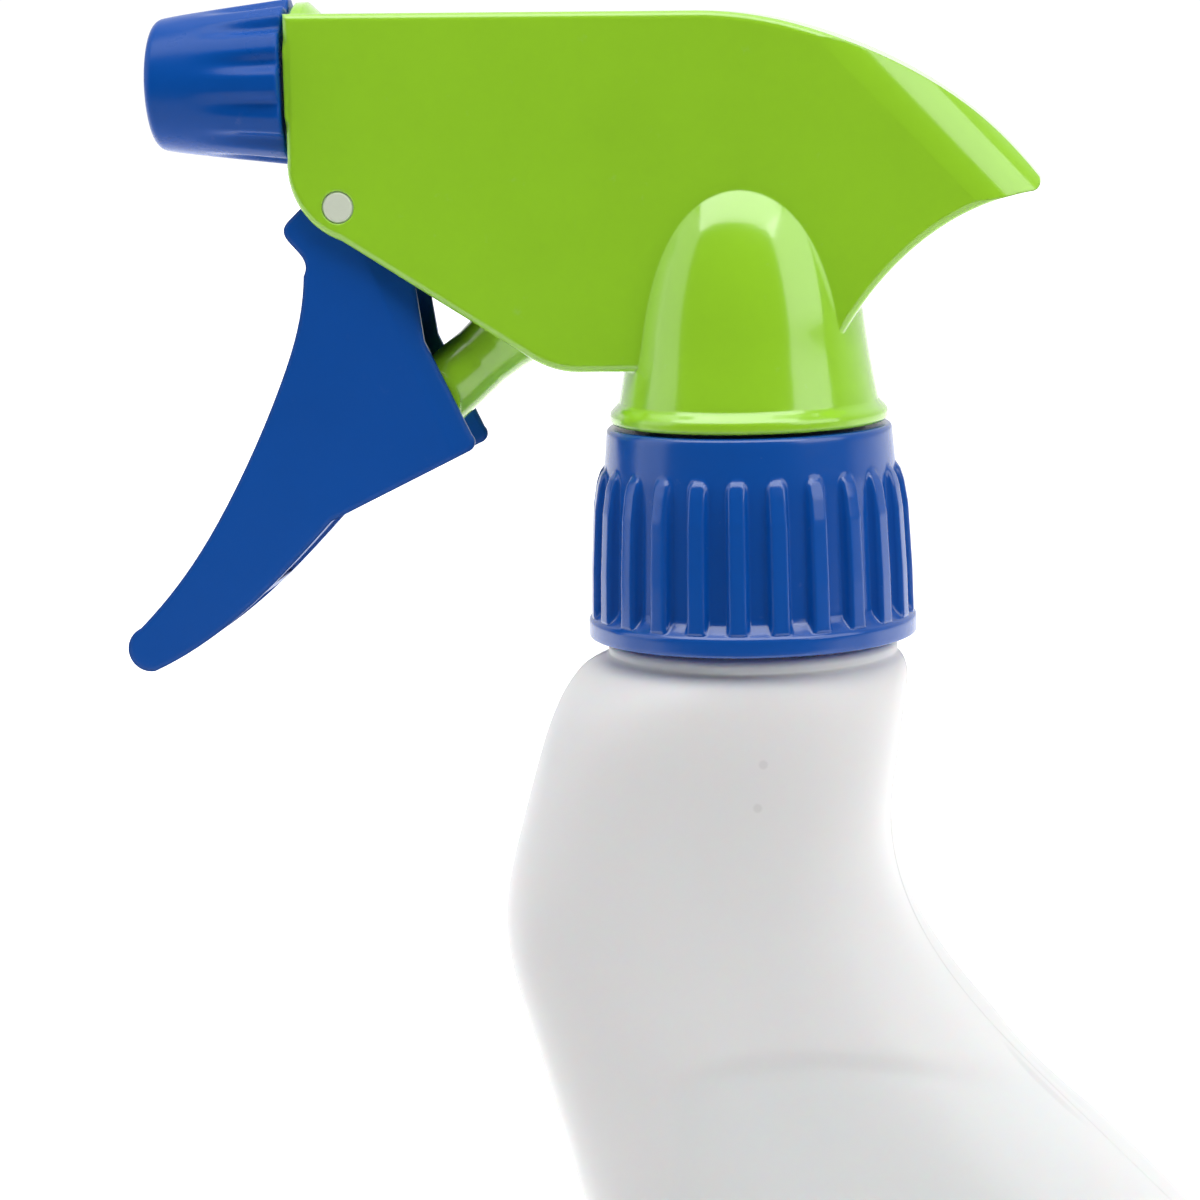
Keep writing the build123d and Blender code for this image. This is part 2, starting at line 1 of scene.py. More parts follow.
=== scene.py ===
"""Looks for the trigger spray bottle: rebuilt pieces, plastics, light and camera around the CAD frame.

Shapes are drawn in the neck frame, in millimetres: its origin is on the neck axis at the closure's lower
edge. part() takes them to the part's own frame in metres. The nozzle points along -X.
"""

import json
import math

import bmesh
import bpy
import numpy as np
from mathutils import Matrix, Vector


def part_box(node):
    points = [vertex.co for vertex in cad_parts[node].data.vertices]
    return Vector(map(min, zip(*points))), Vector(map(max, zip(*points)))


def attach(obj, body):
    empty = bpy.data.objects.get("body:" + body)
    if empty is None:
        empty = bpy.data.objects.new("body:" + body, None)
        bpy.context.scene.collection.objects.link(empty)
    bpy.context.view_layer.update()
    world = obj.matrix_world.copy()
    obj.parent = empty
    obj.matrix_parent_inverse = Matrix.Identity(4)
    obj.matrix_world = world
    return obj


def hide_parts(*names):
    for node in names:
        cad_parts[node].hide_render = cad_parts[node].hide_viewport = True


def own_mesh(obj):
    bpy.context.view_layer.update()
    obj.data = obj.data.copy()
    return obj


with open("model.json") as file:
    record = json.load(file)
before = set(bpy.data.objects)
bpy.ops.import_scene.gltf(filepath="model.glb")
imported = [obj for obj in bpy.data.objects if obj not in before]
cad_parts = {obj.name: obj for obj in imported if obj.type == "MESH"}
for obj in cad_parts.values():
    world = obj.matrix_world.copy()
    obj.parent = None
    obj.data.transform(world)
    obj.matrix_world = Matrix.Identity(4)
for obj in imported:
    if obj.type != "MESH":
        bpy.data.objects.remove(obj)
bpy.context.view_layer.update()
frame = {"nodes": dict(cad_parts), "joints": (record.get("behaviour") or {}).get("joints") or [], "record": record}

NODES = frame["nodes"]
JOINTS = {joint["name"]: joint for joint in frame["joints"]}
scene = bpy.context.scene

# ---- where things are ---------------------------------------------------------------------------

closure_low, closure_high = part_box("closure")
NECK = np.array([(closure_low.x + closure_high.x) / 2, 0.0, closure_low.z])
SPRAY_Z = (JOINTS["nozzle_turn"]["pos_m"][2] - float(NECK[2])) * 1000
BASE_Z = float((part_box("bottle")[0].z - NECK[2]) * 1000)


def part(points):
    """Points in the neck frame in millimetres, moved to the part's frame in metres."""
    return np.asarray(points, float) * 0.001 + NECK


# ---- curves and grids ---------------------------------------------------------------------------


def cubic(knots, values):
    """A natural cubic spline through the values, one row for each knot."""
    x = np.asarray(knots, float)
    y = np.asarray(values, float).reshape(len(x), -1)
    n = len(x)
    h = np.diff(x)
    a = np.zeros((n, n))
    r = np.zeros_like(y)
    a[0, 0] = a[-1, -1] = 1.0
    for i in range(1, n - 1):
        a[i, i - 1 : i + 2] = h[i - 1], 2 * (h[i - 1] + h[i]), h[i]
        r[i] = 3 * ((y[i + 1] - y[i]) / h[i] - (y[i] - y[i - 1]) / h[i - 1])
    c = np.linalg.solve(a, r)
    b = (y[1:] - y[:-1]) / h[:, None] - h[:, None] * (2 * c[:-1] + c[1:]) / 3
    d = (c[1:] - c[:-1]) / (3 * h[:, None])

    def at(t):
        t = np.atleast_1d(t)
        i = np.clip(np.searchsorted(x, t) - 1, 0, n - 2)
        s = (t - x[i])[:, None]
        return y[i] + b[i] * s + c[i] * s**2 + d[i] * s**3

    return at


def step(edge0, edge1, value):
    """0 below edge0, 1 above edge1, and smooth between them."""
    t = np.clip((value - edge0) / (edge1 - edge0), 0.0, 1.0)
    return t * t * (3 - 2 * t)


def rounded(corners, radius, pieces=5):
    """A polyline of (a, b) corners with each inner corner turned into a small arc."""
    out = [corners[0]]
    for before, here, after in zip(corners, corners[1:], corners[2:]):
        before, here, after = (np.array(p, float) for p in (before, here, after))
        into, away = before - here, after - here
        reach = min(radius, 0.45 * np.linalg.norm(into), 0.45 * np.linalg.norm(away))
        start = here + into / np.linalg.norm(into) * reach
        end = here + away / np.linalg.norm(away) * reach
        for t in np.linspace(0, 1, pieces):
            out.append(tuple((1 - t) ** 2 * start + 2 * t * (1 - t) * here + t * t * end))
    out.append(corners[-1])
    return out


def spread(points, gap):
    """Extra points along a polyline, so that none are further apart than gap."""
    out = [np.array(points[0], float)]
    for here in points[1:]:
        here = np.array(here, float)
        count = max(1, int(math.ceil(np.linalg.norm(here - out[-1]) / gap)))
        last = out[-1]
        out.extend(last + (here - last) * (k + 1) / count for k in range(count))
    return np.array(out)


def grid_object(name, grid, closed_rows):
    """A mesh from a grid of points, rows by columns.

    The columns always close. The rows close too, or end in capped poles.
    """
    rows, columns = grid.shape[:2]
    verts = part(grid.reshape(-1, 3))
    index = np.arange(rows * columns).reshape(rows, columns)
    low = index if closed_rows else index[:-1]
    high = np.roll(index, -1, axis=0) if closed_rows else index[1:]
    quads = np.stack([low, np.roll(low, -1, axis=1), np.roll(high, -1, axis=1), high], axis=-1)
    faces = [tuple(q) for q in quads.reshape(-1, 4)]
    verts = [tuple(v) for v in verts]
    if not closed_rows:
        for row in (0, rows - 1):
            verts.append(tuple(np.mean([verts[i] for i in index[row]], axis=0)))
            pole = len(verts) - 1
            ring = list(index[row])
            for a, b in zip(ring, ring[1:] + ring[:1]):
                faces.append((pole, int(b), int(a)) if row == 0 else (pole, int(a), int(b)))
    mesh = bpy.data.meshes.new(name)
    mesh.from_pydata(verts, [], faces)
    tidy_normals(mesh)
    made = bpy.data.objects.new(name, mesh)
    scene.collection.objects.link(made)
    return made


def tidy_normals(mesh):
    """Outward normals and smooth shading."""
    work = bmesh.new()
    work.from_mesh(mesh)
    bmesh.ops.recalc_face_normals(work, faces=work.faces)
    work.to_mesh(mesh)
    work.free()
    mesh.polygons.foreach_set("use_smooth", [True] * len(mesh.polygons))
    mesh.update()


def grid_normals(grid):
    """The unit normal at each point of a grid whose columns close."""
    along = np.gradient(grid, axis=0)
    around = (np.roll(grid, -1, axis=1) - np.roll(grid, 1, axis=1)) / 2
    normal = np.cross(around, along)
    length = np.linalg.norm(normal, axis=-1, keepdims=True)
    return normal / np.maximum(length, 1e-9)


# ---- plastics -----------------------------------------------------------------------------------


class Nodes:
    """A material's node tree, with short ways to add nodes."""

    def __init__(self, name):
        self.material = bpy.data.materials.new(name)
        self.material.use_nodes = True
        self.tree = self.material.node_tree
        self.tree.nodes.clear()
        self.place = self.add("ShaderNodeTexCoord").outputs["Object"]

    def add(self, kind, **values):
        node = self.tree.nodes.new(kind)
        for key, value in values.items():
            if key in node.inputs:
                node.inputs[key].default_value = value
            else:
                setattr(node, key, value)
        return node

    def join(self, source, target):
        self.tree.links.new(source, target)

    def stretched(self, scale):
        node = self.add("ShaderNodeMapping")
        node.inputs["Scale"].default_value = scale
        self.join(self.place, node.inputs["Vector"])
        return node.outputs["Vector"]

    def noise(self, scale, detail=3.0, roughness=0.5, vector=None):
        node = self.add("ShaderNodeTexNoise", Scale=scale, Detail=detail, Roughness=roughness)
        self.join(vector or self.place, node.inputs["Vector"])
        return node.outputs["Fac"]

    def remap(self, value, low, high, to_low, to_high):
        node = self.add("ShaderNodeMapRange")
        numbers = {"From Min": low, "From Max": high, "To Min": to_low, "To Max": to_high}
        for socket, number in numbers.items():
            node.inputs[socket].default_value = number
        self.join(value, node.inputs["Value"])
        return node.outputs["Result"]

    def math(self, operation, a, b):
        node = self.add("ShaderNodeMath", operation=operation)
        for socket, value in zip(node.inputs, (a, b)):
            if isinstance(value, (int, float)):
                socket.default_value = value
            else:
                self.join(value, socket)
        return node.outputs["Value"]

    def blend(self, amount, first, second):
        """A mix of two colours, each of which is a constant or another node's output."""
        node = self.add("ShaderNodeMix", data_type="RGBA")
        self.join(amount, node.inputs["Factor"])
        for name, value in (("A", first), ("B", second)):
            socket = next(s for s in node.inputs if s.type == "RGBA" and s.name == name)
            if isinstance(value, tuple):
                socket.default_value = (*value, 1.0)
            else:
                self.join(value, socket)
        return next(s for s in node.outputs if s.type == "RGBA")

    def bump(self, height, strength, distance, normal=None):
        node = self.add("ShaderNodeBump", Strength=strength, Distance=distance)
        self.join(height, node.inputs["Height"])
        if normal is not None:
            self.join(normal, node.inputs["Normal"])
        return node.outputs["Normal"]

    def finish(self, colour, roughness, normal, **values):
        shader = self.add("ShaderNodeBsdfPrincipled")
        for key, value in values.items():
            shader.inputs[key.replace("_", " ")].default_value = value
        self.join(colour, shader.inputs["Base Color"])
        self.join(roughness, shader.inputs["Roughness"])
        self.join(normal, shader.inputs["Normal"])
        out = self.add("ShaderNodeOutputMaterial")
        self.join(shader.outputs["BSDF"], out.inputs["Surface"])
        return self.material


def tint(colour, factor):
    """A colour made darker or lighter."""
    return tuple(min(1.0, c * factor) for c in colour)


# How fine each pattern is, in cells per metre
DRIFT_SCALE = 45
STREAK_SCALE = 70
RUB_SCALE = 520
SCUFF_SCALE = 700
SPECK_SCALE = 150.0
SPECK_PATCH_SCALE = 60
GLOSS_SCALE = 60
SINK_SCALE = 70
GRAIN_SCALE = 2600
FLOW_STRETCH = (0.35, 1.0, 2.4)
SCUFF_STRETCH = (0.5, 1.0, 1.4)


def moulded(name, colour, gloss, grain=1.0, worn=1.0, specks=0.0, drifts=0.04, edge=0.0, **values):
    """Injection-moulded or blown plastic, with its colour drift, flow streaks, rubs, scuffs and grain.

    edge is the radius in metres that sharp edges are shaded with, and values go to the shader as they are.
    """
    n = Nodes(name)
    darker, lighter = tint(colour, 1 - drifts), tint(colour, 1 + drifts)
    drift = n.remap(n.noise(DRIFT_SCALE, 2.0), 0.3, 0.7, 0.0, 1.0)
    streaks = n.noise(STREAK_SCALE, 4.0, 0.6, n.stretched(FLOW_STRETCH))
    mixed = n.blend(drift, darker, lighter)
    mixed = n.blend(n.remap(streaks, 0.35, 0.75, 0.0, 0.35), mixed, lighter)
    rubbed = n.remap(n.noise(RUB_SCALE, 5.0, 0.62), 0.66, 0.78, 0.0, 0.16 * worn)
    mixed = n.blend(rubbed, mixed, tuple(0.8 * c + 0.16 for c in colour))
    if specks:
        cells = n.add("ShaderNodeTexVoronoi", Scale=SPECK_SCALE, Randomness=1.0)
        n.join(n.place, cells.inputs["Vector"])
        dot = n.remap(cells.outputs["Distance"], 0.05, 0.085, 1.0, 0.0)
        chosen = n.remap(n.noise(SPECK_PATCH_SCALE, 1.0), 0.60, 0.66, 0.0, specks)
        mixed = n.blend(n.math("MULTIPLY", dot, chosen), mixed, tint(colour, 0.62))
    scuff_noise = n.noise(SCUFF_SCALE, 5.0, 0.65, n.stretched(SCUFF_STRETCH))
    scuffs = n.remap(scuff_noise, 0.5, 0.78, 0.0, 0.06 * worn)
    broad = n.remap(n.noise(GLOSS_SCALE, 3.0), 0.3, 0.7, gloss - 0.02, gloss + 0.03)
    rough = n.math("ADD", n.math("ADD", broad, scuffs), n.math("MULTIPLY", rubbed, 0.25))
    edges = n.add("ShaderNodeBevel", samples=6, Radius=edge).outputs["Normal"] if edge else None
    sinks = n.bump(n.noise(SINK_SCALE, 1.0), 0.08, 0.0003, edges)
    fine = n.bump(n.noise(GRAIN_SCALE, 3.0, 0.6), 0.07 * grain, 0.00003, sinks)
    return n.finish(mixed, rough, fine, **values)


def rubber(name, colour):
    """Soft rubber: matt, finely pitted and a little dusty."""
    n = Nodes(name)
    dusty = n.remap(n.noise(500, 5.0, 0.7), 0.45, 0.75, 0.0, 0.35)
    mixed = n.blend(dusty, colour, tuple(c + 0.06 for c in colour))
    rough = n.remap(n.noise(300, 3.0), 0.3, 0.7, 1.0, 1.15)
    normal = n.bump(n.noise(3500, 4.0, 0.6), 0.3, 0.00005)
    return n.finish(mixed, rough, normal)


def wire(name, colour):
    """Drawn spring wire: fine lengthwise draw marks and slight staining."""
    n = Nodes(name)
    stain = n.remap(n.noise(350, 4.0, 0.6), 0.4, 0.7, 0.0, 0.5)
    mixed = n.blend(stain, colour, tuple(c * f for c, f in zip(colour, (0.78, 0.72, 0.64))))
    rough = n.remap(n.noise(1500, 3.0, 0.5, n.stretched((1.0, 1.0, 6.0))), 0.3, 0.7, 0.18, 0.34)
    normal = n.bump(n.noise(4200, 2.0, 0.5, n.stretched((1.0, 1.0, 5.0))), 0.15, 0.00003)
    return n.finish(mixed, rough, normal, Metallic=1.0)


LIME = (0.295, 0.612, 0.020)
DEEP_BLUE = (0.002, 0.070, 0.345)
GREEN = moulded(
    "lime_polypropylene",
    LIME,
    0.16,
    edge=0.0004,
    Specular_IOR_Level=0.8,
    Coat_Weight=0.5,
    Coat_Roughness=0.05,
)
BLUE = moulded("blue_polypropylene", DEEP_BLUE, 0.19, Specular_IOR_Level=0.7)
TRIGGER_BLUE = moulded(
    "trigger_polypropylene",
    DEEP_BLUE,
    0.34,
    worn=0.4,
    edge=0.0009,
    Specular_IOR_Level=0.3,
)
NOZZLE_BLUE = moulded("nozzle_polypropylene", DEEP_BLUE, 0.27, Specular_IOR_Level=0.18)
WHITE = moulded(
    "bottle_polyethylene",
    (0.700, 0.692, 0.696),
    0.36,
    grain=1.2,
    worn=0.35,
    specks=0.3,
    drifts=0.012,
    Subsurface_Weight=0.25,
    Subsurface_Scale=0.003,
    Specular_IOR_Level=0.18,
)
PIN_WHITE = moulded("pin_acetal", (0.62, 0.67, 0.55), 0.28, worn=0.6)
NATURAL = moulded(
    "natural_polyethylene",
    (0.66, 0.67, 0.61),
    0.36,
    worn=0.5,
    Subsurface_Weight=0.25,
    Subsurface_Scale=0.002,
)
RUBBER = rubber("valve_rubber_black", (0.018, 0.018, 0.020))
STEEL = wire("spring_wire", (0.60, 0.60, 0.62))

MATERIAL_OF_SLOT = {
    "bottle_white": WHITE,
    "sprayer_green": GREEN,
    "sprayer_blue": BLUE,
    "pin_white": PIN_WHITE,
    "natural_plastic": NATURAL,
    "spring_steel": STEEL,
    "valve_rubber": RUBBER,
}


def stands_for(obj, node, body, slot):
    """Gives a rebuilt piece its material and its body, and hides the CAD node it replaces."""
    obj.data.materials.clear()
    obj.data.materials.append(MATERIAL_OF_SLOT[slot])
    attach(obj, body)
    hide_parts(node)


# ---- bottle -------------------------------------------------------------------------------------

# Height, front x, back x, half depth, squareness at the front and at the back
BODY_SECTIONS = [
    (-2.2, -15.6, 15.2, 15.0, 2.0, 2.0),
    (-3.2, -17.6, 15.9, 16.3, 2.1, 2.1),
    (-4.7, -19.0, 16.1, 17.0, 2.3, 2.3),
    (-6.5, -20.2, 15.9, 17.4, 2.5, 2.5),
    (-12.2, -22.4, 15.1, 17.9, 2.8, 2.9),
    (-20.0, -24.6, 14.2, 18.2, 2.9, 3.1),
    (-29.0, -26.4, 16.0, 18.8, 2.9, 3.3),
    (-40.0, -24.4, 22.7, 20.2, 2.9, 3.3),
    (-52.0, -21.0, 34.0, 21.9, 2.9, 3.1),
    (-64.0, -17.7, 45.9, 23.6, 2.9, 3.0),
    (-78.0, -14.6, 58.3, 25.1, 2.9, 2.9),
    (-94.0, -13.0, 67.6, 26.0, 2.9, 2.9),
    (-112.0, -14.2, 72.2, 26.4, 3.0, 3.0),
    (-132.0, -17.6, 73.4, 26.5, 3.1, 3.1),
    (-152.0, -20.8, 72.8, 26.4, 3.2, 3.2),
    (-165.0, -22.0, 72.0, 26.1, 3.2, 3.2),
    (-169.6, -21.6, 71.6, 25.5, 3.1, 3.1),
    (-171.4, -20.3, 70.3, 24.2, 3.0, 3.0),
]
BODY_CENTRE_X = 25.0
BODY_TOP_Z = BODY_SECTIONS[0][0]
BODY_FOOT_Z = BODY_SECTIONS[-1][0]
WALL = 1.1
# The foot's underside, from its edge inwards: share of the foot's outline and height above the floor
UNDERSIDE = [
    (0.93, 0.03),
    (0.91, 0.15),
    (0.88, 0.42),
    (0.84, 0.7),
    (0.76, 0.95),
    (0.6, 1.15),
    (0.4, 1.3),
    (0.2, 1.38),
    (0.04, 1.4),
]
HEEL = [(0.955, 0.0), (0.975, 0.08), (0.99, 0.28)]
# Radius and height of the ring between the body and the neck
SUPPORT_RING = [(15.15, -2.1), (15.2, -1.2), (14.9, -0.75), (12.5, -0.35)]
NECK_R = 12.5
BORE_R = 10.8
RIM_Z = 17.6
THREAD_PITCH = 4.23
THREAD_TURNS = 1.5
THREAD_Z = 7.6
SEAM_PROUD = 0.10
SEAM_WIDTH = 0.16
LABEL_DEPTH = 0.45
LABEL_BEVEL = 1.2
LABEL_EDGE = [
    (-8.4, -60.0),
    (-8.1, -50.0),
    (-7.4, -45.6),
    (-5.0, -42.7),
    (0.5, -41.3),
    (7.8, -40.8),
    (14.5, -41.2),
    (21.0, -42.6),
    (27.5, -45.5),
    (32.5, -50.5),
    (36.5, -57.5),
    (42.0, -64.8),
    (50.0, -74.5),
    (57.0, -84.5),
    (61.2, -95.0),
    (62.6, -108.0),
    (62.8, -150.0),
    (61.0, -157.0),
    (55.0, -160.0),
    (1.0, -160.0),
    (-5.5, -157.5),
    (-8.4, -151.0),
    (-8.4, -80.0),
]


def quarter_fractions(count):
    """Shares of a quarter outline, closer together next to the parting line."""
    near = [0.0, 0.0025, 0.005, 0.0085, 0.013, 0.020]
    return np.array(near + list(np.linspace(0.020, 1.0, count)[1:]))


def outline_quarter(half_length, half_depth, squareness, fractions):
    """Points of one quarter of a superellipse at shares of its length from the X axis."""
    angle = np.linspace(0, math.pi / 2, 700)
    x = half_length * np.cos(angle).clip(0) ** (2 / squareness)
    y = half_depth * np.sin(angle).clip(0) ** (2 / squareness)
    length = np.concatenate([[0], np.cumsum(np.hypot(np.diff(x), np.diff(y)))])
    want = fractions * length[-1]
    return np.interp(want, length, x), np.interp(want, length, y)


def level(z, front, back, half_depth, front_square, back_square, fractions):
    """One closed outline of the bottle, from the back over +Y to the front and round by -Y."""
    middle = (front + back) / 2
    reach = (back - front) / 2
    bx, by = outline_quarter(reach, half_depth, back_square, fractions)
    fx, fy = outline_quarter(reach, half_depth, front_square, fractions)
    x = np.concatenate([bx[:-1], -fx[:0:-1], -fx[:-1], bx[:0:-1]])
    y = np.concatenate([by[:-1], fy[:0:-1], -fy[:-1], -by[:0:-1]])
    return np.column_stack([middle + x, y, np.full(len(x), z)])


def distance_inside(points, polygon):
    """Distance from each (x, z) point to a closed polygon, positive inside."""
    nearest = np.full(len(points), 1e9)
    inside = np.zeros(len(points), bool)
    for a, b in zip(polygon, np.roll(polygon, -1, axis=0)):
        ab = b - a
        t = np.clip(((points - a) @ ab) / (ab @ ab), 0, 1)
        nearest = np.minimum(nearest, np.linalg.norm(points - a - t[:, None] * ab, axis=1))
        crosses = (a[1] > points[:, 1]) != (b[1] > points[:, 1])
        with np.errstate(divide="ignore", invalid="ignore"):
            at_x = a[0] + (points[:, 1] - a[1]) / (b[1] - a[1]) * ab[0]
        inside ^= crosses & (points[:, 0] < at_x)
    return np.where(inside, nearest, -nearest)


def smooth_loop(points, count):
    """A closed Catmull-Rom curve through the points."""
    p = np.array(points, float)
    out = []
    for i in range(len(p)):
        p0, p1, p2, p3 = p[i - 1], p[i], p[(i + 1) % len(p)], p[(i + 2) % len(p)]
        for t in np.linspace(0, 1, count, endpoint=False):
            out.append(
                0.5
                * (
                    2 * p1
                    + (p2 - p0) * t
                    + (2 * p0 - 5 * p1 + 4 * p2 - p3) * t * t
                    + (3 * p1 - p0 - 3 * p2 + p3) * t**3
                )
            )
    return np.array(out)


def body_levels():
    """Heights close enough together to show the label panel's arch."""
    knots = [BODY_TOP_Z, -8.0, -36.0, -64.0, -100.0, BODY_FOOT_Z]
    gaps = [0.25, 0.8, 0.42, 0.8, 1.3]
    z = []
    for top, bottom, gap in zip(knots, knots[1:], gaps):
        z.extend(np.linspace(top, bottom, int((top - bottom) / gap), endpoint=False))
    return np.array(z + [knots[-1]])


def body_section(z):
    """The bottle's section numbers at the given heights."""
    table = np.array(BODY_SECTIONS)
    # The knots are spaced by how far the outline travels, so the tight shoulder and base stay smooth
    steps = np.linalg.norm(np.diff(table[:, :4], axis=0), axis=1)
    travel = np.concatenate([[0], np.cumsum(steps)])
    curve = cubic(travel, table)
    fine = curve(np.linspace(0, travel[-1], 4000))
    order = np.argsort(fine[:, 0])
    return np.column_stack([np.interp(z, fine[order, 0], fine[order, k]) for k in range(6)])


def bottle_grid():
    """The bottle's rows from its underside up the outside, over the rim and down the inside.

    Also says which rows are the body's outside and which are the neck's.
    """
    fractions = quarter_fractions(72)
    rows = []

    def circle(z, radius):
        rows.append(level(z, -radius, radius, radius, 2.0, 2.0, fractions))

    def section(values, inset=0.0, scale=1.0, z=None):
        height, front, back, depth, n_front, n_back = values
        front, back, depth = front + inset, back - inset, depth - inset
        front = BODY_CENTRE_X + (front - BODY_CENTRE_X) * scale
        back = BODY_CENTRE_X + (back - BODY_CENTRE_X) * scale
        at = height if z is None else z
        rows.append(level(at, front, back, depth * scale, n_front, n_back, fractions))

    for scale, rise in UNDERSIDE[::-1] + HEEL:
        section(BODY_SECTIONS[-1], scale=scale, z=BASE_Z + rise)
    body_start = len(rows)
    for values in body_section(body_levels()[::-1]):
        section(values)
    body = slice(body_start, len(rows))
    for radius, z in spread(rounded(SUPPORT_RING, 0.35), 0.25)[1:]:
        circle(z, radius)
    neck_start = len(rows)
    for z in np.arange(0.1, RIM_Z - 0.5, 0.3):
        circle(z, NECK_R)
    neck = slice(neck_start, len(rows))
    rim = [(NECK_R, RIM_Z - 0.45), (NECK_R, RIM_Z), (BORE_R, RIM_Z), (BORE_R, RIM_Z - 1)]
    for radius, z in spread(rounded(rim, 0.4), 0.3):
        circle(z, radius)
    for z in np.linspace(RIM_Z - 2, -3.0, 14):
        circle(z, BORE_R)
    for values in body_section(np.linspace(-3.6, -169.0, 64)):
        # The wall grows thicker towards the shoulder
        thicker = 1.5 * step(-60, 0, values[0]) * step(-16, -3, values[0])
        section(values, inset=WALL + LABEL_DEPTH / 2 + thicker)
    for scale in (0.9, 0.7, 0.45, 0.2, 0.04):
        section(body_section(np.array([-169.5]))[0], inset=WALL + 0.6, scale=scale, z=BASE_Z + 1.9)
    return np.array(rows), body, neck


def thread_ridge(z, turn, start_z, turns, height, flank):
    """How far a screw thread stands out at height z, with turn as the share of a whole turn."""
    lead = (z - start_z) / THREAD_PITCH - turn
    whole = np.round(lead)
    off = np.abs(lead - whole) * THREAD_PITCH
    along = (whole + turn) / turns
    ends = step(0.0, 0.06, along) * (1 - step(0.94, 1.0, along))
    return height * (1 - step(*flank, off)) * ends


def make_bottle():
    grid, body_rows, neck_rows = bottle_grid()
    # The label panel is let in, and the mould's parting line stands a little proud
    body = grid[body_rows]
    normals = grid_normals(grid)[body_rows]
    centre = body.mean(axis=1, keepdims=True)
    quarter = len(quarter_fractions(72))
    normals *= np.sign(((body - centre) * normals).sum(axis=-1)[:, :quarter].mean())
    loop = smooth_loop(LABEL_EDGE, 8)
    inside = distance_inside(body[..., [0, 2]].reshape(-1, 2), loop).reshape(body.shape[:2])
    sunk = LABEL_DEPTH * step(-LABEL_BEVEL, LABEL_BEVEL, inside) * (np.abs(body[..., 1]) > 2)
    seam = SEAM_PROUD * np.exp(-((body[..., 1] / SEAM_WIDTH) ** 2)) * step(-172, -166, body[..., 2])
    grid[body_rows] += normals * (seam - sunk)[..., None]

    # The neck's thread shows once the closure is turned off
    neck = grid[neck_rows]
    turn = np.arctan2(neck[..., 1], neck[..., 0]) % (2 * math.pi) / (2 * math.pi)
    ridge = thread_ridge(neck[..., 2], turn, THREAD_Z, THREAD_TURNS, 1.15, (0.45, 1.0))
    outward = neck[..., :2] / np.linalg.norm(neck[..., :2], axis=-1, keepdims=True)
    neck[..., :2] += outward * ridge[..., None]

    made = grid_object("bottle_shell", grid, closed_rows=False)
    stands_for(made, "bottle", "bottle", "bottle_white")


# ---- screw closure ------------------------------------------------------------------------------

RIBS = 24
RIB_TOP_Z = 17.9
RIB_END = 1.2
RIB_HALF_WIDTH = 1.0
RIB_FLANK = (-0.28, 0.22)
RIB_AT_R = 16.2
# Height and radius along the top of a rib
RIB_CREST = [(2.3, 16.95), (7.0, 16.85), (13.5, 16.5), (16.0, 16.1), (17.2, 15.7), (RIB_TOP_Z, 15.2)]
CLOSURE_BORE_R = 14.0
CLOSURE_OUTSIDE = [
    (16.6, 0.0),
    (17.2, 0.0),
    (17.2, 1.9),
    (16.6, 2.35),
    (15.75, 3.3),
    (15.55, 9.0),
    (15.25, 17.0),
    (14.85, 21.9),
    (11.2, 21.9),
    (11.2, 20.3),
    (CLOSURE_BORE_R, 20.3),
    (CLOSURE_BORE_R, 0.0),
    (16.6, 0.0),
]


def make_closure():
    columns = RIBS * 22
    angle = np.arange(columns) / columns * 2 * math.pi
    shape = spread(rounded(CLOSURE_OUTSIDE, 0.55, 6), 0.33)[:-1]
    radius = np.repeat(shape[:, :1], columns, axis=1)
    z = shape[:, 1:2]
    pitch = 2 * math.pi / RIBS
    off = np.abs((angle + pitch / 2) % pitch - pitch / 2)[None, :] * RIB_AT_R
    crest = np.interp(z[:, 0], *np.transpose(RIB_CREST))[:, None]
    past = ((z - (RIB_TOP_Z - RIB_END)) / RIB_END).clip(0)
    half = RIB_HALF_WIDTH * np.sqrt(np.clip(1 - past**2, 0, 1))
    rib = 1 - step(*RIB_FLANK, off - half)
    outside = (radius > 15.0) & (z > 1.9) & (z < RIB_TOP_Z)
    foot = step(1.9, 2.4, z)
    ribbed = np.maximum(radius, radius + (crest - radius) * rib * foot)
    radius = np.where(outside, ribbed, radius)
    turn = (angle / (2 * math.pi))[None, :]
    ridge = thread_ridge(z, turn, THREAD_Z - THREAD_PITCH / 2, 1.25, 0.85, (0.4, 0.9))
    bore = (np.abs(radius - CLOSURE_BORE_R) < 0.02) & (z > 0.5) & (z < 20.0)
    radius = np.where(bore, radius - ridge, radius)
    rows = np.repeat(z, columns, axis=1)
    grid = np.stack([radius * np.cos(angle), radius * np.sin(angle), rows], axis=-1)
    made = grid_object("ribbed_closure", grid, closed_rows=True)
    stands_for(made, "closure", "closure", "sprayer_blue")


# ---- nozzle -------------------------------------------------------------------------------------

FLUTES = 12
FLUTE_DEPTH = 0.7
FLUTE_HALF_WIDTH = 1.5
FLUTE_FADES = (-57.5, -48.5)
FLUTE_AT_R = 8.2
# Radius and X: the socket for the barrel, the knob's outside, and the face with the orifice
NOZZLE_SOCKET = [(5.15, -58.6), (5.15, -47.0), (8.1, -47.0), (8.52, -47.12), (8.56, -47.5)]
NOZZLE_OUTSIDE = [(8.6, -47.0), (7.8, -54.0), (7.15, -59.0), (6.75, -61.3), (5.0, -61.8), (2.7, -61.8)]
NOZZLE_FACE = [(3.4, -61.8), (2.7, -61.8), (2.2, -60.7), (0.4, -60.2), (0.4, -58.6), (5.15, -58.6)]


